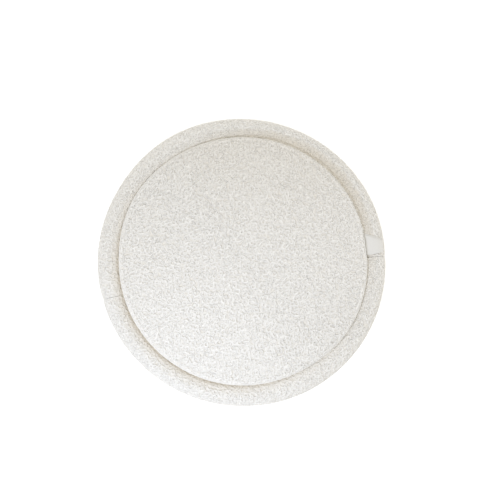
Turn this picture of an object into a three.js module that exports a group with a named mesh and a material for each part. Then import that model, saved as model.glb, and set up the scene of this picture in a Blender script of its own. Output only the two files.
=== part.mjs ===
// Round storage ottoman: a padded drum with a rolled rim, an inset lift-off lid and a pull tab.
// Millimetres, +Z up, origin on the floor under the middle of the drum.
// Angles are in degrees, anticlockwise from +X as seen from above.
import * as THREE from "three";

// Drum
const WALL_RADIUS = 210;
const ROLL_OUTSIDE = 18;
const HEM_RADIUS = 12;
const WALL_DRAW_IN = 3;
const BASE_THICKNESS = 12;
const LEDGE_INSIDE_RADIUS = 166;
const LEDGE_HEIGHT = 24;

// Lid
const LID_UNDERSIDE = 350;
const LID_SHOULDER = 394.5;
const LID_SHOULDER_INSET = 4.6;
const LID_CROWN = 5.5;
const LID_PLAY = 0.4;
const LID_OVERHANG = 1.4;

// Seams of the wall cover
const SEAM_ANGLES = { right: 2.5, left: 195 };
const SEAM_DEPTH = 0.9;
const SEAM_SPREAD = 1.1;

// Pull tab, a tape folded double
const TAB_ANGLE = 8.3;
const TAB_LAYER = 0.8;
const TAB_LAYER_GAP = 0.4;
const TAB_ROOT_HEIGHT = 354;
const TAB_ROOT_CLEARANCE = 0.6;
const TAB_RIM_CLEARANCE = 0.5;
const TAB_PAST_CREST = 8;
const TAB_STEPS_ACROSS = 6;

// Room that the lid and the drum each give the tab, in millimetres, and its width in degrees
const TAB_ROOM = 1.3;
const TAB_ROOM_HALF_WIDTH = 5.2;
const TAB_ROOM_FADE = 2;

// Air between neighbouring pieces
const PIECE_GAP = 0.3;

// Steps round the drum, closer beside the seams and the tab, none nearer to a seam than the last value
const ROUND_STEP = 5;
const CLOSER_STEPS = [1.5, 2.5, 3.5, 7.5, 12.5, 13.5, 16, 17.5, 192.5, 194, 196, 197.5];
const NEAREST_STEP = 0.5;

// How far the hand-padded shape strays from round, a row every 30 degrees from 0: wall is added to the
// wall radius, crest and lid are the radii of the rim's crest and of the lid, rim and groove are the heights
// of the rim's crest and of its inner edge.
const UNEVEN = [
  { wall: -0.5, crest: 197.0, rim: 391.0, groove: 387.0, lid: 182.5 },
  { wall: 0.0, crest: 200.0, rim: 387.5, groove: 386.0, lid: 182.8 },
  { wall: -1.0, crest: 200.0, rim: 387.0, groove: 385.8, lid: 182.8 },
  { wall: -0.5, crest: 196.0, rim: 389.5, groove: 386.0, lid: 182.3 },
  { wall: 1.0, crest: 194.0, rim: 391.5, groove: 388.2, lid: 182.1 },
  { wall: -0.5, crest: 195.0, rim: 391.5, groove: 387.6, lid: 182.8 },
  { wall: 0.5, crest: 196.0, rim: 392.0, groove: 385.5, lid: 178.9 },
  { wall: -0.5, crest: 196.5, rim: 392.5, groove: 385.0, lid: 178.3 },
  { wall: -1.0, crest: 196.5, rim: 392.5, groove: 385.5, lid: 177.7 },
  { wall: -0.5, crest: 197.0, rim: 392.5, groove: 386.5, lid: 178.6 },
  { wall: 1.0, crest: 197.0, rim: 392.0, groove: 387.5, lid: 179.4 },
  { wall: 1.0, crest: 197.5, rim: 392.0, groove: 387.5, lid: 183.7 },
];

// Lid side from below, which the inside of the drum follows: how far each level lies inside the outline
const LID_SIDE = [
  { inset: 4.6, height: 357 },
  { inset: 2.6, height: 367 },
  { inset: LID_OVERHANG, height: 374 },
];

// Lid edge from below: its foot, its side, the part that stands out over the groove and its tight shoulder
const LID_EDGE = [
  { inset: 8.4, height: LID_UNDERSIDE },
  { inset: 6.2, height: 351.5 },
  ...LID_SIDE,
  { inset: LID_OVERHANG, height: 388.4 },
  { inset: 0.4, height: 389.6 },
  { inset: 0, height: 390.8 },
  { inset: 0.3, height: 392.3 },
  { inset: 1, height: 393.5 },
  { inset: 2.4, height: 394.2 },
];

// Tab outline from its root to its fold: how far each edge lies from the tab's middle line
const TAB_EDGES = [
  { along: 0, lower: -15.5, upper: 15.5 },
  { along: 0.58, lower: -15.5, upper: 15 },
  { along: 0.8, lower: -15.5, upper: 8 },
  { along: 1, lower: -14.5, upper: 2 },
];

const CREAM_BOUCLE = { color: 0xe6e4df, roughness: 0.95, metalness: 0 };
const CREAM_TAPE = { color: 0xeceae4, roughness: 0.85, metalness: 0 };
const PALE_BOARD = { color: 0xcdb894, roughness: 0.7, metalness: 0 };

const radians = THREE.MathUtils.degToRad;
const degrees = THREE.MathUtils.radToDeg;

// Straight lines through two columns of a table
function between(rows, from, to, value) {
  const next = Math.max(1, rows.findIndex((row) => row[from] >= value));
  const [a, b] = [rows[next - 1], rows[next]];
  return THREE.MathUtils.mapLinear(value, a[from], b[from], a[to], b[to]);
}

// Smooth closed curve through one column of the uneven table
function around(column, angle) {
  const rows = UNEVEN.length;
  const place = (THREE.MathUtils.euclideanModulo(angle, 360) / 360) * rows;
  const row = Math.floor(place);
  const t = place - row;
  const [a, b, c, d] = [-1, 0, 1, 2].map((k) => UNEVEN[(row + k + rows) % rows][column]);
  const slopeAtB = (c - a) / 2;
  const slopeAtC = (d - b) / 2;
  const cubic = 2 * (b - c) + slopeAtB + slopeAtC;
  const square = c - b - slopeAtB - cubic;
  return b + slopeAtB * t + square * t ** 2 + cubic * t ** 3;
}

function angleApart(a, b) {
  return Math.abs(THREE.MathUtils.euclideanModulo(a - b + 180, 360) - 180);
}

// The cover is pulled in along each seam
function seamDip(angle) {
  const apart = Math.min(...Object.values(SEAM_ANGLES).map((seam) => angleApart(angle, seam)));
  return SEAM_DEPTH * Math.exp(-((apart / SEAM_SPREAD) ** 2));
}

// The lid and the drum both give way to the tab between them
function tabRoom(angle) {
  const past = angleApart(angle, TAB_ANGLE) - TAB_ROOM_HALF_WIDTH;
  return TAB_ROOM * (1 - THREE.MathUtils.smoothstep(past, 0, TAB_ROOM_FADE));
}

// Inside of the drum where the lid's side lies this far inside its outline
function drumInside(angle, inset) {
  return around("lid", angle) + LID_PLAY + tabRoom(angle) - inset;
}

function drumOutside(angle) {
  return WALL_RADIUS + around("wall", angle);
}

function lidOutline(angle) {
  return around("lid", angle) - tabRoom(angle);
}

function onDrum(radius, angle, height) {
  const turn = radians(angle);
  return new THREE.Vector3(radius * Math.cos(turn), radius * Math.sin(turn), height);
}

// Outer half of the rim's roll, a quarter ellipse: turn is 0 at its side and 90 at the crest
function rollPoint(crest, side, top, depth, turn) {
  const radius = crest + (side - crest) * Math.cos(radians(turn));
  const height = top - depth * (1 - Math.sin(radians(turn)));
  return new THREE.Vector2(radius, height);
}

// Inner half of the roll, pressed flat by the lid: share is 0 at the crest and 1 at the groove
function slopePoint(crest, inside, top, groove, share) {
  const radius = THREE.MathUtils.lerp(crest, inside, share);
  return new THREE.Vector2(radius, THREE.MathUtils.lerp(top, groove, share ** 2));
}

// Section of the wall, anticlockwise from its lower inside corner
function wallSection(angle) {
  const inside = drumInside(angle, LID_OVERHANG);
  const outside = drumOutside(angle) - seamDip(angle);
  const crest = around("crest", angle);
  const top = around("rim", angle) - seamDip(angle);
  const groove = around("groove", angle);
  const foot = outside - WALL_DRAW_IN;
  const section = [new THREE.Vector2(drumInside(angle, LID_SIDE[0].inset), 0)];
  for (const turn of [0, 30, 60, 90]) {
    const radius = foot - HEM_RADIUS * (1 - Math.sin(radians(turn)));
    const height = HEM_RADIUS * (1 - Math.cos(radians(turn)));
    section.push(new THREE.Vector2(radius, height));
  }
  for (const share of [0.18, 0.4, 0.7]) {
    const radius = outside - WALL_DRAW_IN * (1 - share) ** 3;
    const height = THREE.MathUtils.lerp(HEM_RADIUS, top - ROLL_OUTSIDE, share);
    section.push(new THREE.Vector2(radius, height));
  }
  for (const turn of [0, 18, 36, 54, 72, 90]) {
    section.push(rollPoint(crest, outside, top, ROLL_OUTSIDE, turn));
  }
  for (const share of [0.25, 0.5, 0.75, 1]) {
    section.push(slopePoint(crest, inside, top, groove, share));
  }
  for (const { inset, height } of [...LID_SIDE].reverse()) {
    section.push(new THREE.Vector2(drumInside(angle, inset), height));
  }
  return section;
}

// Steps from one angle to another, both ends included
function stepsBetween(from, to) {
  const steps = [...CLOSER_STEPS];
  for (let angle = 0; angle < 360; angle += ROUND_STEP) {
    steps.push(angle);
  }
  const twice = [...steps, ...steps.map((angle) => angle + 360)];
  const inner = twice.filter((angle) => angle > from + NEAREST_STEP && angle < to - NEAREST_STEP);
  return [from, ...inner.sort((a, b) => a - b), to];
}

const ROUND_STEPS = stepsBetween(0, 360).slice(0, -1);

function solid(points, index) {
  const geometry = new THREE.BufferGeometry().setFromPoints(points);
  geometry.setIndex(index);
  geometry.computeVertexNormals();
  return geometry;
}

// Closed skin through like rings of points, its two ends filled by the section's own triangles
function loft(rings, section) {
  const count = section.length;
  const index = [];
  for (let ring = 0; ring + 1 < rings.length; ring += 1) {
    const here = ring * count;
    const next = here + count;
    for (let j = 0; j < count; j += 1) {
      const k = (j + 1) % count;
      index.push(here + j, next + j, next + k);
      index.push(here + j, next + k, here + k);
    }
  }
  const last = (rings.length - 1) * count;
  for (const [a, b, c] of THREE.ShapeUtils.triangulateShape(section, [])) {
    index.push(a, b, c);
    index.push(last + a, last + c, last + b);
  }
  return solid(rings.flat(), index);
}

// One sewn panel of the padded wall with its share of the rolled rim, from seam to seam
function wallPanel(fromSeam, toSeam) {
  const halfGap = degrees(PIECE_GAP / 2 / LEDGE_INSIDE_RADIUS);
  const steps = stepsBetween(fromSeam + halfGap, toSeam - halfGap);
  const rings = steps.map((angle) => wallSection(angle).map((p) => onDrum(p.x, angle, p.y)));
  return loft(rings, wallSection(steps[0]));
}

// Flat board cut to the drum's inside outline
function innerBoard(bottom, top, holes) {
  const inset = LID_SIDE[0].inset + PIECE_GAP;
  const outline = ROUND_STEPS.map((angle) => onDrum(drumInside(angle, inset), angle, 0));
  const shape = new THREE.Shape(outline.map((p) => new THREE.Vector2(p.x, p.y)));
  shape.holes.push(...holes);
  const board = new THREE.ExtrudeGeometry(shape, { depth: top - bottom, bevelEnabled: false });
  return board.translate(0, 0, bottom);
}

function basePanel() {
  return innerBoard(0, BASE_THICKNESS, []);
}

// Hoop inside the wall that carries the lid
function lidLedge() {
  const top = LID_UNDERSIDE - PIECE_GAP;
  const edge = ROUND_STEPS.map((angle) => onDrum(LEDGE_INSIDE_RADIUS, angle, 0));
  const hole = new THREE.Path(edge.map((p) => new THREE.Vector2(p.x, p.y)));
  return innerBoard(top - LEDGE_HEIGHT, top, [hole]);
}

// Padded lid: flat underside, sides drawn in below, a tight shoulder and a low crown
function lidPad() {
  const levels = LID_EDGE.map(({ inset, height }) => ({ inset, height, share: 1 }));
  for (const share of [1, 0.86, 0.68, 0.46, 0.22]) {
    const height = LID_SHOULDER + LID_CROWN * (1 - share ** 2);
    levels.push({ inset: LID_SHOULDER_INSET, height, share });
  }
  const points = [onDrum(0, 0, LID_UNDERSIDE)];
  for (const { inset, height, share } of levels) {
    for (const angle of ROUND_STEPS) {
      points.push(onDrum((lidOutline(angle) - inset) * share, angle, height));
    }
  }
  const top = points.push(onDrum(0, 0, LID_SHOULDER + LID_CROWN)) - 1;
  const count = ROUND_STEPS.length;
  const at = (level, step) => 1 + level * count + (step % count);
  const index = [];
  for (let step = 0; step < count; step += 1) {
    index.push(0, at(0, step + 1), at(0, step));
    for (let level = 0; level + 1 < levels.length; level += 1) {
      index.push(at(level, step), at(level, step + 1), at(level + 1, step + 1));
      index.push(at(level, step), at(level + 1, step + 1), at(level + 1, step));
    }
    index.push(at(levels.length - 1, step), at(levels.length - 1, step + 1), top);
  }
  return solid(points, index);
}

const TAB_HALF = TAB_LAYER + TAB_LAYER_GAP / 2;
const TAB_LIFT = TAB_RIM_CLEARANCE + TAB_HALF;

// Middle line of the folded tab: from the lid's foot up the inside of the drum and out over the rim
function tabLine(angle) {
  const inside = drumInside(angle, LID_OVERHANG);
  const crest = around("crest", angle);
  const top = around("rim", angle);
  const groove = around("groove", angle);
  const sewnInset = between(LID_EDGE, "height", "inset", TAB_ROOT_HEIGHT);
  const lidSide = lidOutline(angle) - sewnInset;
  const line = [new THREE.Vector2(lidSide + TAB_ROOT_CLEARANCE + TAB_HALF, TAB_ROOT_HEIGHT)];
  for (const { inset, height } of LID_SIDE.slice(1)) {
    line.push(new THREE.Vector2(drumInside(angle, inset) - TAB_LIFT, height));
  }
  const edge = new THREE.Vector2(inside, groove);
  for (const turn of [180, 150, 120]) {
    const outward = new THREE.Vector2(Math.cos(radians(turn)), Math.sin(radians(turn)));
    line.push(edge.clone().addScaledVector(outward, TAB_LIFT));
  }
  for (const share of [0.75, 0.5, 0.25, 0]) {
    const steepness = (2 * (top - groove) * share) / (crest - inside);
    const upward = new THREE.Vector2(-steepness, 1).normalize();
    line.push(slopePoint(crest, inside, top, groove, share).addScaledVector(upward, TAB_LIFT));
  }
  const outside = drumOutside(angle) + TAB_LIFT;
  for (const share of [0.5, 1]) {
    const turn = degrees(Math.acos((TAB_PAST_CREST * share) / (outside - crest)));
    line.push(rollPoint(crest, outside, top + TAB_LIFT, ROLL_OUTSIDE + TAB_LIFT, turn));
  }
  return line;
}

// Where the tab lies at each step along it, for one share of its width from the lower edge
function tabRun(share) {
  const middle = tabLine(TAB_ANGLE);
  const lengths = [0];
  for (let i = 1; i < middle.length; i += 1) {
    lengths.push(lengths[i - 1] + middle[i].distanceTo(middle[i - 1]));
  }
  return middle.map((point, i) => {
    const along = lengths[i] / lengths[middle.length - 1];
    const lower = between(TAB_EDGES, "along", "lower", along);
    const upper = between(TAB_EDGES, "along", "upper", along);
    const angle = TAB_ANGLE + degrees(THREE.MathUtils.lerp(lower, upper, share) / point.x);
    const line = tabLine(angle);
    const before = line[Math.max(0, i - 1)];
    const after = line[Math.min(line.length - 1, i + 1)];
    const ahead = after.clone().sub(before).normalize();
    const up = new THREE.Vector2(-ahead.y, ahead.x);
    return { angle, place: line[i], ahead, up };
  });
}

// Back-and-forth section of the two layers, anticlockwise, with the fold at the tip
function tabRing(share) {
  const run = tabRun(share);
  const back = [...run].reverse();
  const tip = run[run.length - 1];
  const offset = ({ angle, place, up }, distance) => {
    return { angle, at: place.clone().addScaledVector(up, distance) };
  };
  const fold = (radius, turn) => {
    const at = tip.place.clone().addScaledVector(tip.up, radius * Math.cos(radians(turn)));
    return { angle: tip.angle, at: at.addScaledVector(tip.ahead, radius * Math.sin(radians(turn))) };
  };
  const inner = TAB_LAYER_GAP / 2;
  const clockwise = [
    ...run.map((step) => offset(step, TAB_HALF)),
    ...[45, 90, 135].map((turn) => fold(TAB_HALF, turn)),
    ...back.map((step) => offset(step, -TAB_HALF)),
    ...run.map((step) => offset(step, -inner)),
    fold(inner, 90),
    ...back.map((step) => offset(step, inner)),
  ];
  return clockwise.reverse();
}

function pullTab() {
  const rings = [];
  for (let step = 0; step <= TAB_STEPS_ACROSS; step += 1) {
    const ring = tabRing(step / TAB_STEPS_ACROSS);
    rings.push(ring.map(({ angle, at }) => onDrum(at.x, angle, at.y)));
  }
  return loft(rings, tabRing(0.5).map(({ at }) => at));
}

const ottoman = new THREE.Group();

function addPiece(name, geometry, finish) {
  const piece = new THREE.Mesh(geometry, new THREE.MeshStandardMaterial(finish));
  piece.name = name;
  ottoman.add(piece);
}

const { right, left } = SEAM_ANGLES;
addPiece("back_panel", wallPanel(right, left), CREAM_BOUCLE);
addPiece("front_panel", wallPanel(left, right + 360), CREAM_BOUCLE);
addPiece("base_panel", basePanel(), PALE_BOARD);
addPiece("lid_ledge", lidLedge(), PALE_BOARD);
addPiece("lid_pad", lidPad(), CREAM_BOUCLE);
addPiece("pull_tab", pullTab(), CREAM_TAPE);

export default ottoman;
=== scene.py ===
import math

import bpy
import numpy as np
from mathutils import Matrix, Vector


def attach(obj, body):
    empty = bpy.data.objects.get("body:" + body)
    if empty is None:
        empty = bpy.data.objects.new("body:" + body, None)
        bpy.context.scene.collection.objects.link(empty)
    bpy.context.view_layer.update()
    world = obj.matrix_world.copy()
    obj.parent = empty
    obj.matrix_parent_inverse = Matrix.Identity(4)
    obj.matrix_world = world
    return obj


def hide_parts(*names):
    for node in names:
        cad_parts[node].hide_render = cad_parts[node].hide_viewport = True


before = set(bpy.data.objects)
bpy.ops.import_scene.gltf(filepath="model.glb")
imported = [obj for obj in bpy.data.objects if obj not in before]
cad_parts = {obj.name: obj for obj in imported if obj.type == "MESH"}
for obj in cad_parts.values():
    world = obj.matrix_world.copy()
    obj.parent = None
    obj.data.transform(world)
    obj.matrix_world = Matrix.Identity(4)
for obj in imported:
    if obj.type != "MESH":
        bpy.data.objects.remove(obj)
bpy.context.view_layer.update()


# Base board: a round of birch plywood that closes the drum and carries what is stored in it.
# It is sawn to the inside of the wall, its edges are eased with sandpaper, and it is stapled in
# flush with the lower edge of the wall.
BOARD_EASED_EDGE = 0.0012
SAME_PLACE = 1e-5
PLY_PALE = "#dcc9a8"
PLY_GRAIN = "#c7aa7c"
PLY_GRAIN_WIDTH = 0.007
PLY_GRAIN_STRETCH = (0.12, 1.0, 1.0)
PLY_FIBRE_WIDTH = 0.0012
PLY_FIBRE_DEPTH = 0.0003


def linear(code):
    """Linear colour, with full alpha, of an sRGB hex value."""
    parts = [int(code[i : i + 2], 16) / 255 for i in (1, 3, 5)]
    return [c / 12.92 if c <= 0.04045 else ((c + 0.055) / 1.055) ** 2.4 for c in parts] + [1.0]


def add_node(tree, kind, inputs=None, **settings):
    """A new node: settings are its options, inputs its sockets' values or the sockets linked to them."""
    node = tree.nodes.new(kind)
    for name, value in settings.items():
        setattr(node, name, value)
    for name, value in (inputs or {}).items():
        if isinstance(value, bpy.types.NodeSocket):
            tree.links.new(value, node.inputs[name])
        else:
            node.inputs[name].default_value = value
    return node


def new_material(name, **sockets):
    """A material, its node tree and its shader, with the shader's fixed values set on its own sockets."""
    material = bpy.data.materials.new(name)
    material.use_nodes = True
    shader = material.node_tree.nodes["Principled BSDF"]
    for socket, value in sockets.items():
        shader.inputs[socket.replace("_", " ")].default_value = value
    return material, material.node_tree, shader


def pick(piece):
    """Make this piece the only selected one."""
    bpy.ops.object.select_all(action="DESELECT")
    piece.select_set(True)
    bpy.context.view_layer.objects.active = piece


def copy_of(node, name):
    """The solid of a CAD node as the start of a new piece, with its doubles merged."""
    piece = bpy.data.objects.new(name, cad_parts[node].data.copy())
    bpy.context.scene.collection.objects.link(piece)
    piece.data.materials.clear()
    pick(piece)
    bpy.ops.object.mode_set(mode="EDIT")
    bpy.ops.mesh.select_all(action="SELECT")
    bpy.ops.mesh.customdata_custom_splitnormals_clear()
    bpy.ops.mesh.remove_doubles(threshold=SAME_PLACE)
    bpy.ops.object.mode_set(mode="OBJECT")
    return piece


def eased_board(node, name):
    """A sawn board: flat faces made whole, sharp edges rounded a little."""
    piece = copy_of(node, name)
    bpy.ops.object.mode_set(mode="EDIT")
    bpy.ops.mesh.dissolve_limited(angle_limit=math.radians(0.5))
    bpy.ops.mesh.select_all(action="DESELECT")
    bpy.ops.mesh.edges_select_sharp(sharpness=math.radians(45))
    bpy.ops.mesh.bevel(offset=BOARD_EASED_EDGE, segments=2, affect="EDGES")
    bpy.ops.object.mode_set(mode="OBJECT")
    bpy.ops.object.shade_smooth_by_angle(angle=math.radians(30))
    return piece


# Birch plywood, peeled and sanded: long soft grain in two near colours, with fine fibres along it.
plywood, tree, shader = new_material("birch_plywood", Roughness=0.6)
place = add_node(tree, "ShaderNodeTexCoord").outputs["Object"]
along = add_node(tree, "ShaderNodeMapping", {"Vector": place, "Scale": PLY_GRAIN_STRETCH}).outputs[0]
grain = add_node(
    tree,
    "ShaderNodeTexNoise",
    {"Vector": along, "Scale": 1 / PLY_GRAIN_WIDTH, "Detail": 4.0, "Distortion": 1.2},
)
fibre = add_node(tree, "ShaderNodeTexNoise", {"Vector": along, "Scale": 1 / PLY_FIBRE_WIDTH, "Detail": 2.0})
tone = add_node(
    tree,
    "ShaderNodeMix",
    {"Factor": grain.outputs["Fac"], 6: linear(PLY_PALE), 7: linear(PLY_GRAIN)},
    data_type="RGBA",
)
rough = add_node(
    tree, "ShaderNodeBump", {"Height": fibre.outputs["Fac"], "Strength": 0.2, "Distance": PLY_FIBRE_DEPTH}
)
tree.links.new(tone.outputs[2], shader.inputs["Base Color"])
tree.links.new(rough.outputs[0], shader.inputs["Normal"])

base_board = eased_board("base_panel", "base_board")
base_board.data.materials.append(plywood)
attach(base_board, "drum")
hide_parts("base_panel")


# Wall panels: two padded panels of cream boucle, sewn together at two seams and stretched over foam on
# fibreboard. The cloth is rolled over the top as the soft rim, turned under at the floor and stapled.
# Angles round the drum are in degrees from +X, lengths in metres.
SEAM_RIGHT = 2.5
SEAM_LEFT = 195.0
SEAM_HALF_GAP = 0.025
SAME_ANGLE = 0.02
WALL_OUTSIDE = 0.210
WALL_DRAW_IN = 0.003
WALL_ROW = 0.0088
COLUMN_WIDTH = 0.0075
HEM_RADIUS = 0.012
ROLL_OUTSIDE = 0.018
TURNS = np.radians([18, 36, 54, 72, 90])
BELOW_GROOVE = 0.373
WALL_SWELL = 0.0015
SWELL_PRESSURE = 4
SWELL_FRAMES = 20

# Rows down the inside of the drum: how far inside the rim's edge, how high, and the share of the pile.
INSIDE_ROWS = (
    (0.0, 0.3835, 0.3),
    (0.0, 0.374, 0.3),
    (0.0012, 0.367, 0.2),
    (0.0032, 0.357, 0.1),
    (0.0032, 0.350, 0.0),
    (0.0032, 0.230, 0.0),
    (0.0032, 0.110, 0.0),
    (0.0032, 0.0, 0.0),
)
COVER_END = 0.350

# Rows down the rim from its crest to its inner edge: share of the way, pile, painted shade in the lid's
# shadow round the grip, painted shade next to the lid.
SLOPE_ROWS = (
    (0.25, 1.0, 0.4, 0.12),
    (0.50, 0.9, 0.6, 0.3),
    (0.72, 0.8, 0.6, 0.55),
    (0.90, 0.65, 0.35, 0.95),
    (1.00, 0.55, 0.25, 1.0),
)

# The cover lies this far inside the solid, and its loops rise from there to about the solid's surface.
# Where the share of pile is below the squashed one, the cover is fixed to board and doesn't swell.
COVER_INSET = 0.0010
PILE_HEIGHT = 0.0015
SQUASHED = 0.35
SEAM_PILE = 0.8

# The tab presses the pile under it. Round the grip the rim gets painted shade where the lid's shadow falls on
# it, and its inner edge gets painted shade next to the lid, most at the front left.
TAB_ANGLE = 8.3
TAB_PRESS_WIDTH = 5.0
TAB_PRESS = 0.6
GRIP_AND_SHADE_ANGLE = 50.0
GRIP_AND_SHADE_WIDTH = 53.0
GROOVE_SHADE_ANGLE = 222.0
GROOVE_SHADE_WIDTH = 65.0
GROOVE_SHADE_ELSEWHERE = 0.3

BOUCLE_TIP = "#fbf9f4"
# The root colour is painted shade down between the loops.
BOUCLE_SHADE_BETWEEN_LOOPS = "#f0ece4"
# The worn colour is painted shade: by the groove next to the lid, in the lid's shadow round the grip, and on
# the lid's far edge.
BOUCLE_PAINTED_SHADE = "#e2d9c9"
BOUCLE_LOOP = 0.0066
BOUCLE_UNDER_LOOP = 0.0058
BOUCLE_UNDER_HEIGHT = 0.6
BOUCLE_UNDER_SHIFT = (0.0137, 0.0291, 0.0)
BOUCLE_BLEND = 0.2
BOUCLE_RING = 0.42
BOUCLE_YARN = 0.34
BOUCLE_CURL = 0.005
BOUCLE_STRAY = 0.004
BOUCLE_CRISP = 0.0015
FIBREBOARD_PALE = "#cbb796"
FIBREBOARD_DARK = "#b59d78"
FIBREBOARD_GRIT = 0.0016
FIBREBOARD_GRIT_DEPTH = 0.0003


def vertex_places(piece):
    """Places of a piece's vertices, one row each."""
    places = np.empty(len(piece.data.vertices) * 3)
    piece.data.vertices.foreach_get("co", places)
    return places.reshape(-1, 3)


def set_places(piece, places):
    """Move a piece's vertices to these places."""
    piece.data.vertices.foreach_set("co", places.ravel())
    piece.data.update()


def vertex_normals(piece):
    """Outward directions at a piece's vertices, one row each."""
    normals = np.empty(len(piece.data.vertices) * 3)
    piece.data.vertex_normals.foreach_get("vector", normals)
    return normals.reshape(-1, 3)


def note(piece, name, values):
    """Keep a number, or a place on the flat cloth, with each vertex."""
    kind, field = ("FLOAT", "value") if values.ndim == 1 else ("FLOAT_VECTOR", "vector")
    attribute = piece.data.attributes.new(name, kind, "POINT")
    attribute.data.foreach_set(field, values.astype(np.float32).ravel())


def flat_grid(name, columns, rows):
    """A flat grid, with the column and the row of each vertex."""
    bpy.ops.object.select_all(action="DESELECT")
    bpy.ops.mesh.primitive_grid_add(x_subdivisions=columns, y_subdivisions=rows, size=1)
    piece = bpy.context.object
    piece.name = name
    flat = vertex_places(piece) + 0.5
    return piece, np.rint(flat[:, 0] * columns).astype(int), np.rint(flat[:, 1] * rows).astype(int)


def apply_modifier(piece, kind, **settings):
    """Put a modifier with these settings on a piece and apply it."""
    pick(piece)
    modifier = piece.modifiers.new(kind.lower(), kind)
    for name, value in settings.items():
        setattr(modifier, name, value)
    bpy.ops.object.modifier_apply(modifier=modifier.name)


def swell(piece, held, furthest):
    """Let the cover swell over its filling as cloth under pressure, held where it is fixed to board."""
    piece.vertex_groups.new(name="held").add(np.flatnonzero(held).tolist(), 1.0, "REPLACE")
    start = vertex_places(piece)
    pick(piece)
    cover = piece.modifiers.new("cover", "CLOTH")
    cover.settings.vertex_group_mass = "held"
    cover.settings.use_pressure = True
    cover.settings.uniform_pressure_force = SWELL_PRESSURE
    cover.settings.effector_weights.gravity = 0
    for moment in range(1, SWELL_FRAMES + 1):
        bpy.context.scene.frame_set(moment)
    bpy.ops.object.modifier_apply(modifier=cover.name)
    moved = vertex_places(piece) - start
    distance = np.linalg.norm(moved, axis=1, keepdims=True)
    soft_cap = furthest * np.tanh(distance / furthest) / np.maximum(distance, 1e-9)
    set_places(piece, start + moved * soft_cap)
    bpy.context.scene.frame_set(1)


def close_ends(piece):
    """Join edges that meet, fill the open ends of a piece with flat faces and turn all its faces outward."""
    pick(piece)
    bpy.ops.object.mode_set(mode="EDIT")
    bpy.ops.mesh.select_all(action="SELECT")
    bpy.ops.mesh.remove_doubles(threshold=SAME_PLACE)
    bpy.ops.mesh.select_all(action="DESELECT")
    bpy.ops.mesh.select_non_manifold(extend=False, use_wire=False, use_multi_face=False)
    bpy.ops.mesh.fill_holes(sides=0)
    bpy.ops.mesh.select_all(action="SELECT")
    bpy.ops.mesh.normals_make_consistent(inside=False)
    bpy.ops.object.mode_set(mode="OBJECT")


def boucle_relief(tree, cloth):
    """Height of the yarn, 0 to 1, at a place on the flat cloth: curled loops over a lower layer of loops."""
    curl = add_node(tree, "ShaderNodeTexNoise", {"Vector": cloth, "Scale": 1 / BOUCLE_CURL, "Detail": 1.0})
    lean = add_node(
        tree, "ShaderNodeVectorMath", {0: curl.outputs["Color"], 1: (0.5,) * 3}, operation="SUBTRACT"
    )
    curled = add_node(
        tree,
        "ShaderNodeVectorMath",
        {0: lean.outputs[0], 1: (BOUCLE_STRAY,) * 3, 2: cloth},
        operation="MULTIPLY_ADD",
    )
    beside = add_node(
        tree, "ShaderNodeVectorMath", {0: curled.outputs[0], 1: BOUCLE_UNDER_SHIFT}, operation="ADD"
    )
    layers = []
    for place, spacing, height in (
        (curled, BOUCLE_LOOP, 1.0),
        (beside, BOUCLE_UNDER_LOOP, BOUCLE_UNDER_HEIGHT),
    ):
        middle = add_node(
            tree,
            "ShaderNodeTexVoronoi",
            {"Vector": place.outputs[0], "Scale": 1 / spacing},
            voronoi_dimensions="2D",
        )
        off_ring = add_node(
            tree, "ShaderNodeMath", {0: middle.outputs["Distance"], 1: BOUCLE_RING}, operation="SUBTRACT"
        )
        off_yarn = add_node(tree, "ShaderNodeMath", {0: off_ring.outputs[0]}, operation="ABSOLUTE")
        yarn = add_node(
            tree,
            "ShaderNodeMapRange",
            {"Value": off_yarn.outputs[0], "From Max": BOUCLE_YARN, "To Min": height, "To Max": 0.0},
            interpolation_type="SMOOTHSTEP",
        )
        layers.append(yarn.outputs[0])
    both = add_node(
        tree, "ShaderNodeMath", {0: layers[0], 1: layers[1], 2: BOUCLE_BLEND}, operation="SMOOTH_MAX"
    )
    return both.outputs[0]


def boucle_pile():
    """Geometry nodes that raise the loops of the yarn from the cover, as far as its share of pile allows."""
    group = bpy.data.node_groups.new("boucle_pile", "GeometryNodeTree")
    group.interface.new_socket("Geometry", in_out="INPUT", socket_type="NodeSocketGeometry")
    group.interface.new_socket("Geometry", in_out="OUTPUT", socket_type="NodeSocketGeometry")
    piece = add_node(group, "NodeGroupInput").outputs[0]
    normal = add_node(group, "GeometryNodeInputNormal").outputs[0]
    cover = add_node(group, "GeometryNodeInputNamedAttribute", {"Name": "cover"}, data_type="FLOAT")
    cloth = add_node(group, "GeometryNodeInputNamedAttribute", {"Name": "cloth"}, data_type="FLOAT_VECTOR")
    height = boucle_relief(group, cloth.outputs[0])
    pile = add_node(group, "ShaderNodeMath", {0: height, 1: cover.outputs[0]}, operation="MULTIPLY")
    rise = add_node(group, "ShaderNodeMath", {0: pile.outputs[0], 1: PILE_HEIGHT}, operation="MULTIPLY")
    raised = add_node(
        group, "ShaderNodeVectorMath", {0: normal, "Scale": rise.outputs[0]}, operation="SCALE"
    )
    moved = add_node(group, "GeometryNodeSetPosition", {"Geometry": piece, "Offset": raised.outputs[0]})
    add_node(group, "NodeGroupOutput", {0: moved.outputs[0]})
    return group


pile_group = boucle_pile()

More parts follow.
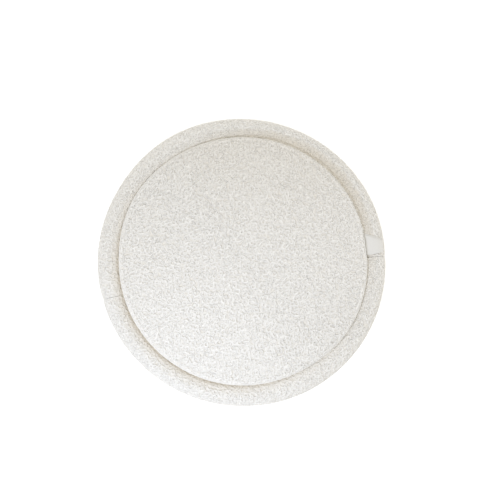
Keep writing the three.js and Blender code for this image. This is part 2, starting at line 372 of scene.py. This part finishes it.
# Cream boucle, a looped yarn of wool and polyester: matt and soft, pale at the tips of its loops, with
# painted shade a little warmer and darker down between them, and beige painted shade by the groove, in the
# lid's shadow and on the lid's far edge. The loops stand in the mesh, and a bump makes them crisp. Where the
# pile is low, the cloth is smooth and has the colour of the tips.
boucle, tree, shader = new_material(
    "cream_boucle", Roughness=0.95, Sheen_Weight=0.25, Sheen_Roughness=0.5, Specular_IOR_Level=0.2
)
cloth = add_node(tree, "ShaderNodeAttribute", attribute_name="cloth")
cover = add_node(tree, "ShaderNodeAttribute", attribute_name="cover")
painted_shade = add_node(tree, "ShaderNodeAttribute", attribute_name="painted_shade")
height = boucle_relief(tree, cloth.outputs["Vector"])
closed = add_node(tree, "ShaderNodeMix", {"Factor": cover.outputs["Fac"], "A": 1.0, "B": height})
# Painted shade: darker and warmer down between the loops, following their height.
loop_root_shade = add_node(
    tree,
    "ShaderNodeMix",
    {"Factor": closed.outputs[0], 6: linear(BOUCLE_SHADE_BETWEEN_LOOPS), 7: linear(BOUCLE_TIP)},
    data_type="RGBA",
)
# Painted shade, beige: by the groove next to the lid, in the lid's shadow round the grip, and on the lid's
# far edge.
tone = add_node(
    tree,
    "ShaderNodeMix",
    {"Factor": painted_shade.outputs["Fac"], 6: loop_root_shade.outputs[2], 7: linear(BOUCLE_PAINTED_SHADE)},
    data_type="RGBA",
)
relief = add_node(tree, "ShaderNodeMath", {0: height, 1: cover.outputs["Fac"]}, operation="MULTIPLY")
crisp = add_node(tree, "ShaderNodeBump", {"Height": relief.outputs[0], "Distance": BOUCLE_CRISP})
tree.links.new(tone.outputs[2], shader.inputs["Base Color"])
tree.links.new(crisp.outputs[0], shader.inputs["Normal"])

# Raw fibreboard, pressed from wood fibre: a plain tan with a fine grit.
fibreboard, tree, shader = new_material("raw_fibreboard", Roughness=0.8)
place = add_node(tree, "ShaderNodeTexCoord").outputs["Object"]
grit = add_node(
    tree, "ShaderNodeTexNoise", {"Vector": place, "Scale": 1 / FIBREBOARD_GRIT, "Detail": 5.0}
)
tone = add_node(
    tree,
    "ShaderNodeMix",
    {"Factor": grit.outputs["Fac"], 6: linear(FIBREBOARD_PALE), 7: linear(FIBREBOARD_DARK)},
    data_type="RGBA",
)
rough = add_node(
    tree,
    "ShaderNodeBump",
    {"Height": grit.outputs["Fac"], "Strength": 0.15, "Distance": FIBREBOARD_GRIT_DEPTH},
)
tree.links.new(tone.outputs[2], shader.inputs["Base Color"])
tree.links.new(rough.outputs[0], shader.inputs["Normal"])


def panel_skin(node):
    """A panel by angle: radii of the rim's inner edge, crest and outside, heights of crest and edge."""
    places = vertex_places(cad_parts[node])
    angles = np.degrees(np.arctan2(places[:, 1], places[:, 0])) % 360
    angles = np.where(angles < SEAM_RIGHT, angles + 360, angles)
    stations = []
    for angle in np.unique(angles.round(2)):
        here = places[np.abs(angles - angle) < SAME_ANGLE]
        radii = np.hypot(here[:, 0], here[:, 1])
        crest = np.argmax(here[:, 2])
        edge = radii[here[:, 2] > BELOW_GROOVE].min()
        groove = here[radii < edge + 1e-4, 2].max()
        stations.append((angle, edge, radii[crest], radii.max(), here[crest, 2], groove))
    return np.array(stations).T


def wall_section(edge, crest, outside, top, groove):
    """Rows of the section as radii, heights and share of pile, from the lower inside corner outward."""
    foot = outside - WALL_DRAW_IN
    drawn_in = INSIDE_ROWS[-1][0]
    rows = [(edge - drawn_in, 0 * top, 0.0)]
    for turn in TURNS:
        radius = foot - HEM_RADIUS * (1 - math.sin(turn))
        rows.append((radius, 0 * top + HEM_RADIUS * (1 - math.cos(turn)), math.sin(turn)))
    wall_height = top - ROLL_OUTSIDE - HEM_RADIUS
    steps = round(wall_height.mean() / WALL_ROW)
    for share in np.arange(1, steps) / steps:
        rows.append((outside - WALL_DRAW_IN * (1 - share) ** 3, HEM_RADIUS + wall_height * share, 1.0))
    for turn in np.append(0, TURNS):
        radius = crest + (outside - crest) * math.cos(turn)
        rows.append((radius, top - ROLL_OUTSIDE * (1 - math.sin(turn)), 1.0))
    for share, pile, *_ in SLOPE_ROWS:
        rows.append((crest + (edge - crest) * share, top + (groove - top) * share**2, pile))
    for inset, height, pile in INSIDE_ROWS:
        rows.append((edge - inset, 0 * top + height, pile))
    return rows


def zone(angles, middle, width):
    """Share that is 1 at an angle round the drum and fades out on both sides of it."""
    return np.exp(-((((angles - middle + 180) % 360 - 180) / width) ** 4))


def rim_painted_shade(row, first_slope_row, angles):
    """How much painted shade the cloth gets at each vertex, in the lid's shadow round the grip or next to the
    lid: 0 outside the rim's slope.
    """
    wear = np.zeros((first_slope_row + len(SLOPE_ROWS) + len(INSIDE_ROWS), 2))
    wear[first_slope_row:] = SLOPE_ROWS[-1][2:]
    wear[first_slope_row : first_slope_row + len(SLOPE_ROWS)] = [values[2:] for values in SLOPE_ROWS]
    in_lid_shadow = zone(angles, GRIP_AND_SHADE_ANGLE, GRIP_AND_SHADE_WIDTH)
    by_groove_shade = GROOVE_SHADE_ELSEWHERE + (1 - GROOVE_SHADE_ELSEWHERE) * zone(angles, GROOVE_SHADE_ANGLE, GROOVE_SHADE_WIDTH)
    return np.maximum(wear[row, 0] * in_lid_shadow, wear[row, 1] * by_groove_shade)


def wall_panel(node, name, from_seam, to_seam):
    """A flat panel of cloth laid round the solid from seam to seam, swollen over its padding and piled."""
    columns = round(math.radians(to_seam - from_seam) * WALL_OUTSIDE / COLUMN_WIDTH)
    angles = np.linspace(from_seam + SEAM_HALF_GAP, to_seam - SEAM_HALF_GAP, columns + 1)
    stations, *skin = panel_skin(node)
    section = wall_section(*[np.interp(angles, stations, values) for values in skin])
    radii, heights = (np.array([row[k] for row in section]) for k in (0, 1))
    steps = np.hypot(np.diff(radii.mean(1)), np.diff(heights.mean(1)))
    along = np.append(0, np.cumsum(steps))
    piece, column, row = flat_grid(name, columns, len(section) - 1)
    angle = np.radians(angles[column])
    radius, height = radii[row, column], heights[row, column]
    cover = np.array([share for _, _, share in section])[row]
    at_seam = (column == 0) | (column == columns)
    first_slope_row = len(section) - len(INSIDE_ROWS) - len(SLOPE_ROWS)
    under_tab = zone(angles[column], TAB_ANGLE, TAB_PRESS_WIDTH) * (row >= first_slope_row)
    cover = cover * (1 - TAB_PRESS * under_tab)
    cover = np.where(at_seam, SEAM_PILE * cover, cover)
    set_places(piece, np.column_stack([radius * np.cos(angle), radius * np.sin(angle), height]))
    note(piece, "cover", cover)
    # Painted shade on the rim's slope: in the lid's shadow round the grip and next to the lid.
    note(piece, "painted_shade", rim_painted_shade(row, first_slope_row, angles[column]))
    note(piece, "cloth", np.column_stack([angle * WALL_OUTSIDE, along[row], 0 * angle]))
    pick(piece)
    bpy.ops.object.mode_set(mode="EDIT")
    bpy.ops.mesh.select_all(action="SELECT")
    bpy.ops.mesh.normals_make_consistent(inside=False)
    bpy.ops.object.mode_set(mode="OBJECT")
    set_places(piece, vertex_places(piece) - vertex_normals(piece) * (COVER_INSET * cover)[:, None])
    swell(piece, (cover < SQUASHED) | at_seam, WALL_SWELL)
    apply_modifier(piece, "SUBSURF", levels=2, render_levels=2, boundary_smooth="PRESERVE_CORNERS")
    apply_modifier(piece, "NODES", node_group=pile_group)
    close_ends(piece)
    bpy.ops.object.shade_smooth()
    piece.data.materials.append(boucle)
    piece.data.materials.append(fibreboard)
    for face in piece.data.polygons:
        inside = math.hypot(face.center.x, face.center.y) < WALL_OUTSIDE - 2 * HEM_RADIUS
        face.material_index = int(inside and face.center.z < COVER_END)
    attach(piece, "drum")
    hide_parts(node)


wall_panel("back_panel", "back_wall", SEAM_RIGHT, SEAM_LEFT)
wall_panel("front_panel", "front_wall", SEAM_LEFT, SEAM_RIGHT + 360)


# Lid ledge: a hoop of birch plywood, bent round and glued and stapled inside the wall. The lid rests on its
# upper edge, which is eased like the base board's.
ledge_hoop = eased_board("lid_ledge", "ledge_hoop")
ledge_hoop.data.materials.append(plywood)
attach(ledge_hoop, "drum")
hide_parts("lid_ledge")


# Lid: a round board with a foam pad, covered in one round of the same boucle. The cloth is pulled over the
# edge and stapled underneath, so the sides draw in below and the top swells to a low crown.
LID_RINGS = 24
LID_SHOULDER = 0.3945
LID_SHOULDER_INSET = 0.0046
LID_CROWN = 0.0055
LID_WIDEST = 0.3908
LID_SWELL = 0.0012

# Hands ruffle the loops on the lid's edge where they reach for it, and the lid's far edge gets a little
# painted shade.
LID_EDGE_RUFFLED = 0.85
LID_EDGE_SHADE = 0.25
LID_EDGE_SHADE_ANGLE = 80.0
LID_EDGE_SHADE_WIDTH = 45.0

# Behind the tab the lid's edge lies a little back. These are degrees from the tab's middle: the notch, the
# width over which the edge comes forward again, and the end of the notch in the solid.
TAB_NOTCH = 4.7
TAB_NOTCH_FADE = 1.0
TAB_NOTCH_END = 7.5

# Rings of the cloth past the crown: how far inside the lid's outline, how high, and the share of the pile.
LID_EDGE_ROWS = (
    (0.0024, 0.3942, 0.7),
    (0.0010, 0.3935, 0.4),
    (0.0003, 0.3923, 0.3),
    (0.0000, LID_WIDEST, 0.3),
    (0.0004, 0.3896, 0.3),
    (0.0018, 0.3884, 0.3),
    (0.0019, 0.3740, 0.2),
    (0.0031, 0.3670, 0.2),
    (0.0051, 0.3570, 0.1),
    (0.0066, 0.3515, 0.1),
    (0.0084, 0.3500, 0.0),
    (0.0180, 0.3500, 0.0),
    (0.0290, 0.3500, 0.0),
    (0.0292, 0.3508, 0.0),
)


def disc_ring(column, row, rings):
    """Ring and angle of a grid vertex when the square grid is drawn out to a disc."""
    u, v = column - rings, row - rings
    ring = np.maximum(np.abs(u), np.abs(v))
    across = np.where(np.abs(u) >= np.abs(v), u, v)
    beside = np.where(np.abs(u) >= np.abs(v), v, u)
    share = math.pi / 4 * beside / np.where(across == 0, 1, across)
    angle = np.where(np.abs(u) >= np.abs(v), share, math.pi / 2 - share)
    return ring, np.where(across < 0, angle + math.pi, angle) % (2 * math.pi)


solid = vertex_places(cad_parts["lid_pad"])
solid_angle = np.arctan2(solid[:, 1], solid[:, 0]) % (2 * math.pi)
solid_radius = np.hypot(solid[:, 0], solid[:, 1])
widest = np.abs(solid[:, 2] - LID_WIDEST) < SAME_PLACE
rings = LID_RINGS + len(LID_EDGE_ROWS)
lid, column, row = flat_grid("lid_cushion", 2 * rings, 2 * rings)
ring, angle = disc_ring(column, row, rings)
share = np.minimum(ring / LID_RINGS, 1)
edge_row = np.maximum(ring - LID_RINGS, 0)
inset, height, cover = np.array([(LID_SHOULDER_INSET, LID_SHOULDER, 1.0), *LID_EDGE_ROWS])[edge_row].T

# The lid's outline is read from the solid.
# Above its widest ring, the edge closes up to the tape on both sides.
from_tab = np.abs((np.degrees(angle) - TAB_ANGLE + 180) % 360 - 180)
beside_tab = np.clip((from_tab - TAB_NOTCH) / TAB_NOTCH_FADE, 0, 1) * (height >= LID_WIDEST)
around = np.column_stack([solid_angle, solid_radius])[widest]
around = around[np.argsort(around[:, 0])]
clear = np.abs(np.degrees(around[:, 0]) - TAB_ANGLE) > TAB_NOTCH_END
outline = np.interp(angle, *around.T, period=2 * math.pi) * (1 - beside_tab)
outline += np.interp(angle, *around[clear].T, period=2 * math.pi) * beside_tab

radius = (outline - inset) * share
height = height + LID_CROWN * (1 - share**2)
edge_steps = np.diff(np.array(LID_EDGE_ROWS)[:, :2], axis=0)
down_edge = np.append([0, 0], np.cumsum(np.linalg.norm(edge_steps, axis=1)))
length = radius + down_edge[edge_row]
set_places(lid, np.column_stack([radius * np.cos(angle), radius * np.sin(angle), height]))
ruffled = zone(np.degrees(angle), GRIP_AND_SHADE_ANGLE, GRIP_AND_SHADE_WIDTH) * (height > LID_WIDEST)
cover = cover + np.maximum(LID_EDGE_RUFFLED - cover, 0) * ruffled
# Painted shade, growing towards the lid's far edge.
painted_shade = LID_EDGE_SHADE * share**2 * zone(np.degrees(angle), LID_EDGE_SHADE_ANGLE, LID_EDGE_SHADE_WIDTH)
note(lid, "cover", cover)
note(lid, "painted_shade", painted_shade)
note(lid, "cloth", np.column_stack([length * np.cos(angle), length * np.sin(angle), 0 * angle]))
set_places(lid, vertex_places(lid) - vertex_normals(lid) * (COVER_INSET * cover)[:, None])
swell(lid, ring > LID_RINGS, LID_SWELL)
apply_modifier(lid, "SUBSURF", levels=2, render_levels=2)
close_ends(lid)
apply_modifier(lid, "NODES", node_group=pile_group)
bpy.ops.object.shade_smooth_by_angle(angle=math.radians(60))
lid.data.materials.append(boucle)
lid.data.materials.append(fibreboard)
for face in lid.data.polygons:
    face.material_index = int(len(face.vertices) > 4)
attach(lid, "lid")
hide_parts("lid_pad")


# Pull tab: a short length of cream cotton tape, folded double and sewn under the edge of the lid. It comes up
# out of the groove and lies over the rim, its two layers a little askew.
TAPE_THICKNESS = 0.0008
TAPE_LAYER_GAP = 0.0004
TAPE_LIFT = 0.0015
TAPE_ROOT = (-0.0078, 0.354)
TAPE_RISES = ((-0.0012, 0.367), (0.0, 0.374))
TAPE_TURNS_UP = np.radians([180, 165, 150, 135, 120])
TAPE_DOWN_SLOPE = (0.75, 0.5, 0.25, 0.0)
TAPE_PAST_CREST = 0.008
TAPE_PAST_STEPS = np.array([0.25, 0.5, 0.75, 1.0])
TAPE_FOLD_TURNS = np.radians([45, 90, 135])
TAPE_EDGES_ALONG = (0.0, 0.58, 0.8, 1.0)
TAPE_LOWER_EDGE = (-0.0155, -0.0155, -0.0155, -0.0145)
TAPE_UPPER_EDGE = (0.0155, 0.015, 0.008, 0.002)
TAPE_ASKEW = 0.0032
TAPE_STEPS_ALONG = 48
TAPE_STEPS_ACROSS = 14
TAPE_ROUTES = 13
TAPE_ROUTES_SIDE = 6
TAPE_ROUND = 0.00025
TAPE_FLAT = (0.031, 0.112)
TAPE_PALE = "#eeede9"
TAPE_SHADE = "#e6e4df"
TAPE_THREAD = 0.0011
TAPE_THREAD_DEPTH = 0.0003


def tape_route(angle):
    """Both layers of the tape at one angle, as radii and heights: out over the rim, round the fold, back."""
    edge, crest, side, top, groove = (np.interp(angle, stations, values) for values in skin)
    line = [(edge + TAPE_ROOT[0], TAPE_ROOT[1])]
    line += [(edge + inset - TAPE_LIFT, height) for inset, height in TAPE_RISES]
    for turn in TAPE_TURNS_UP:
        line.append((edge + TAPE_LIFT * math.cos(turn), groove + TAPE_LIFT * math.sin(turn)))
    for share in TAPE_DOWN_SLOPE:
        steepness = 2 * (top - groove) * share / (crest - edge)
        lift = TAPE_LIFT / math.hypot(1, steepness)
        radius = crest + (edge - crest) * share
        line.append((radius - lift * steepness, top - (top - groove) * share**2 + lift))
    for past in TAPE_PAST_CREST * TAPE_PAST_STEPS:
        drop = (ROLL_OUTSIDE + TAPE_LIFT) * (1 - math.sqrt(1 - (past / (side + TAPE_LIFT - crest)) ** 2))
        line.append((crest + past, top + TAPE_LIFT - drop))
    line = np.array(line)
    length = np.append(0, np.cumsum(np.linalg.norm(np.diff(line, axis=0), axis=1)))
    even = np.linspace(0, length[-1], TAPE_STEPS_ALONG + 1)
    middle = np.column_stack([np.interp(even, length, line[:, k]) for k in (0, 1)])
    for _ in range(2):
        middle[1:-1] = (middle[:-2] + 2 * middle[1:-1] + middle[2:]) / 4
    ahead = np.gradient(middle, axis=0)
    ahead /= np.linalg.norm(ahead, axis=1, keepdims=True)
    out = np.column_stack([-ahead[:, 1], ahead[:, 0]])
    apart = (TAPE_THICKNESS + TAPE_LAYER_GAP) / 2
    fold = [
        middle[-1] + apart * (out[-1] * math.cos(turn) + ahead[-1] * math.sin(turn))
        for turn in TAPE_FOLD_TURNS
    ]
    return np.vstack([middle + out * apart, fold, (middle - out * apart)[::-1]])


# The tape's route is worked out at several angles, and each vertex takes its place between two of them.
stations, *skin = panel_skin("back_panel")
route_angles = np.linspace(TAB_ANGLE - TAPE_ROUTES_SIDE, TAB_ANGLE + TAPE_ROUTES_SIDE, TAPE_ROUTES)
routes = np.array([tape_route(angle) for angle in route_angles])
there = np.linspace(0, 1, TAPE_STEPS_ALONG + 1)
round_fold = np.linspace(0, 1, len(TAPE_FOLD_TURNS))
share_along = np.concatenate([there, np.ones_like(round_fold), there[::-1]])
under = np.concatenate([np.zeros_like(there), round_fold, np.ones_like(there)])

tab, column, row = flat_grid("pull_tape", len(share_along) - 1, TAPE_STEPS_ACROSS)
along = share_along[column]
lower = np.interp(along, TAPE_EDGES_ALONG, TAPE_LOWER_EDGE)
upper = np.interp(along, TAPE_EDGES_ALONG, TAPE_UPPER_EDGE)
aside = lower + (upper - lower) * row / TAPE_STEPS_ACROSS + TAPE_ASKEW * under[column] * along
angle = math.radians(TAB_ANGLE) + aside / routes[TAPE_ROUTES // 2, column, 0]
spot = np.interp(np.degrees(angle), route_angles, np.arange(TAPE_ROUTES))
before = np.minimum(spot.astype(int), TAPE_ROUTES - 2)
weight = (spot - before)[:, None]
radius, height = (routes[before, column] * (1 - weight) + routes[before + 1, column] * weight).T
set_places(tab, np.column_stack([radius * np.cos(angle), radius * np.sin(angle), height]))
apply_modifier(tab, "SOLIDIFY", thickness=TAPE_THICKNESS, offset=0)
apply_modifier(
    tab, "BEVEL", width=TAPE_ROUND, segments=2, limit_method="ANGLE", angle_limit=math.radians(60)
)
bpy.ops.object.shade_smooth()

# Cotton tape, plain woven: pale threads over and under each other, with painted shade a little darker between
# them. The threads are drawn about twice as thick as real ones, so that the weave shows.
tape, tree, shader = new_material("cotton_tape", Roughness=0.8, Sheen_Weight=0.15)
strip = add_node(tree, "ShaderNodeTexCoord").outputs["UV"]
threads = add_node(
    tree,
    "ShaderNodeMapping",
    {
        "Vector": strip,
        "Scale": (math.pi * TAPE_FLAT[1] / TAPE_THREAD, math.pi * TAPE_FLAT[0] / TAPE_THREAD, 1.0),
    },
)
parted = add_node(tree, "ShaderNodeSeparateXYZ", {0: threads.outputs[0]})
warp = add_node(tree, "ShaderNodeMath", {0: parted.outputs[0]}, operation="SINE")
weft = add_node(tree, "ShaderNodeMath", {0: parted.outputs[1]}, operation="SINE")
weave = add_node(tree, "ShaderNodeMath", {0: warp.outputs[0], 1: weft.outputs[0]}, operation="MULTIPLY")
over = add_node(tree, "ShaderNodeMapRange", {"Value": weave.outputs[0], "From Min": -1.0})
tone = add_node(
    tree,
    "ShaderNodeMix",
    {"Factor": over.outputs[0], 6: linear(TAPE_SHADE), 7: linear(TAPE_PALE)},
    data_type="RGBA",
)
ribs = add_node(
    tree, "ShaderNodeBump", {"Height": over.outputs[0], "Strength": 0.5, "Distance": TAPE_THREAD_DEPTH}
)
tree.links.new(tone.outputs[2], shader.inputs["Base Color"])
tree.links.new(ribs.outputs[0], shader.inputs["Normal"])
tab.data.materials.append(tape)
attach(tab, "lid")
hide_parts("pull_tab")


# Studio: a plain white floor in a bright room, a little warm overhead and lighter low at the back right, with
# one soft cool lamp above the front left that fades across the object.
FLOOR_SIZE = 40.0
FLOOR_BELOW = 0.0005
FLOOR_WHITE = "#f4f4f2"
FLOOR_GLOW = 0.4
ROOM_OVERHEAD = 0.84
ROOM_AT_SIDES = 0.82
LOW_LIGHT_BACK_RIGHT = (0.28, 0.50, 0.0)
LOW_LIGHT_TOP = 0.45
ROOM_OVERHEAD_TINT = "#fffcf6"
ROOM_SIDE_TINT = "#ffffff"
LAMP_FROM = (-0.49, -0.63, 1.41)
LAMP_AT = (-0.07, -0.20, 0.39)
LAMP_SIZE = 0.3
LAMP_SPREAD = math.radians(46)
LAMP_POWER = 0.46
LAMP_TINT = "#dde8ff"

bpy.ops.object.select_all(action="DESELECT")
bpy.ops.mesh.primitive_plane_add(size=FLOOR_SIZE, location=(0, 0, -FLOOR_BELOW))
floor = bpy.context.object
floor.name = "floor"
paper, tree, shader = new_material("white_paper", Roughness=0.9, Emission_Strength=FLOOR_GLOW)
shader.inputs["Base Color"].default_value = linear(FLOOR_WHITE)
shader.inputs["Emission Color"].default_value = linear(FLOOR_WHITE)
floor.data.materials.append(paper)

world = bpy.data.worlds.new("studio_room")
world.use_nodes = True
tree = world.node_tree
direction = add_node(tree, "ShaderNodeTexCoord").outputs["Generated"]
parted = add_node(tree, "ShaderNodeSeparateXYZ", {0: direction})
upward = add_node(
    tree,
    "ShaderNodeMapRange",
    {"Value": parted.outputs[2], "To Min": ROOM_AT_SIDES, "To Max": ROOM_OVERHEAD},
)
low = add_node(
    tree,
    "ShaderNodeMapRange",
    {"Value": parted.outputs[2], "From Max": LOW_LIGHT_TOP, "To Min": 1.0, "To Max": 0.0},
)
back_right = add_node(
    tree, "ShaderNodeVectorMath", {0: direction, 1: LOW_LIGHT_BACK_RIGHT}, operation="DOT_PRODUCT"
)
brightness = add_node(
    tree,
    "ShaderNodeMath",
    {0: back_right.outputs["Value"], 1: low.outputs[0], 2: upward.outputs[0]},
    operation="MULTIPLY_ADD",
)
tint = add_node(
    tree,
    "ShaderNodeMix",
    {"Factor": parted.outputs[2], 6: linear(ROOM_SIDE_TINT), 7: linear(ROOM_OVERHEAD_TINT)},
    data_type="RGBA",
)
background = tree.nodes["Background"]
tree.links.new(tint.outputs[2], background.inputs["Color"])
tree.links.new(brightness.outputs[0], background.inputs["Strength"])
bpy.context.scene.world = world

lamp_data = bpy.data.lights.new("soft_lamp", "AREA")
lamp_data.shape = "DISK"
lamp_data.size = LAMP_SIZE
lamp_data.spread = LAMP_SPREAD
lamp_data.energy = LAMP_POWER
lamp_data.color = linear(LAMP_TINT)[:3]
lamp = bpy.data.objects.new("soft_lamp", lamp_data)
bpy.context.scene.collection.objects.link(lamp)
lamp.location = LAMP_FROM
lamp.rotation_euler = (Vector(LAMP_AT) - Vector(LAMP_FROM)).to_track_quat("-Z", "Y").to_euler()
lamp.visible_camera = False


# Camera: straight above, as in the photo, with a long lens. The drum's middle lies on the centre pixel, and
# the scale holds at the height where the drum's outline is widest.
LENS_MM = 150.0
SENSOR_MM = 36.0
FRAME_PIXELS = 500
METRES_PER_PIXEL = 0.0014619
CENTRE_PIXEL = (241.9, 262.5)
OUTLINE_HEIGHT = 0.370

camera_data = bpy.data.cameras.new("camera")
camera_data.lens = LENS_MM
camera_data.sensor_width = SENSOR_MM
camera = bpy.data.objects.new("camera", camera_data)
bpy.context.scene.collection.objects.link(camera)
camera.location = (
    (FRAME_PIXELS / 2 - CENTRE_PIXEL[0]) * METRES_PER_PIXEL,
    (CENTRE_PIXEL[1] - FRAME_PIXELS / 2) * METRES_PER_PIXEL,
    OUTLINE_HEIGHT + FRAME_PIXELS * METRES_PER_PIXEL * LENS_MM / SENSOR_MM,
)
bpy.context.scene.camera = camera
bpy.context.scene.view_settings.view_transform = "Standard"
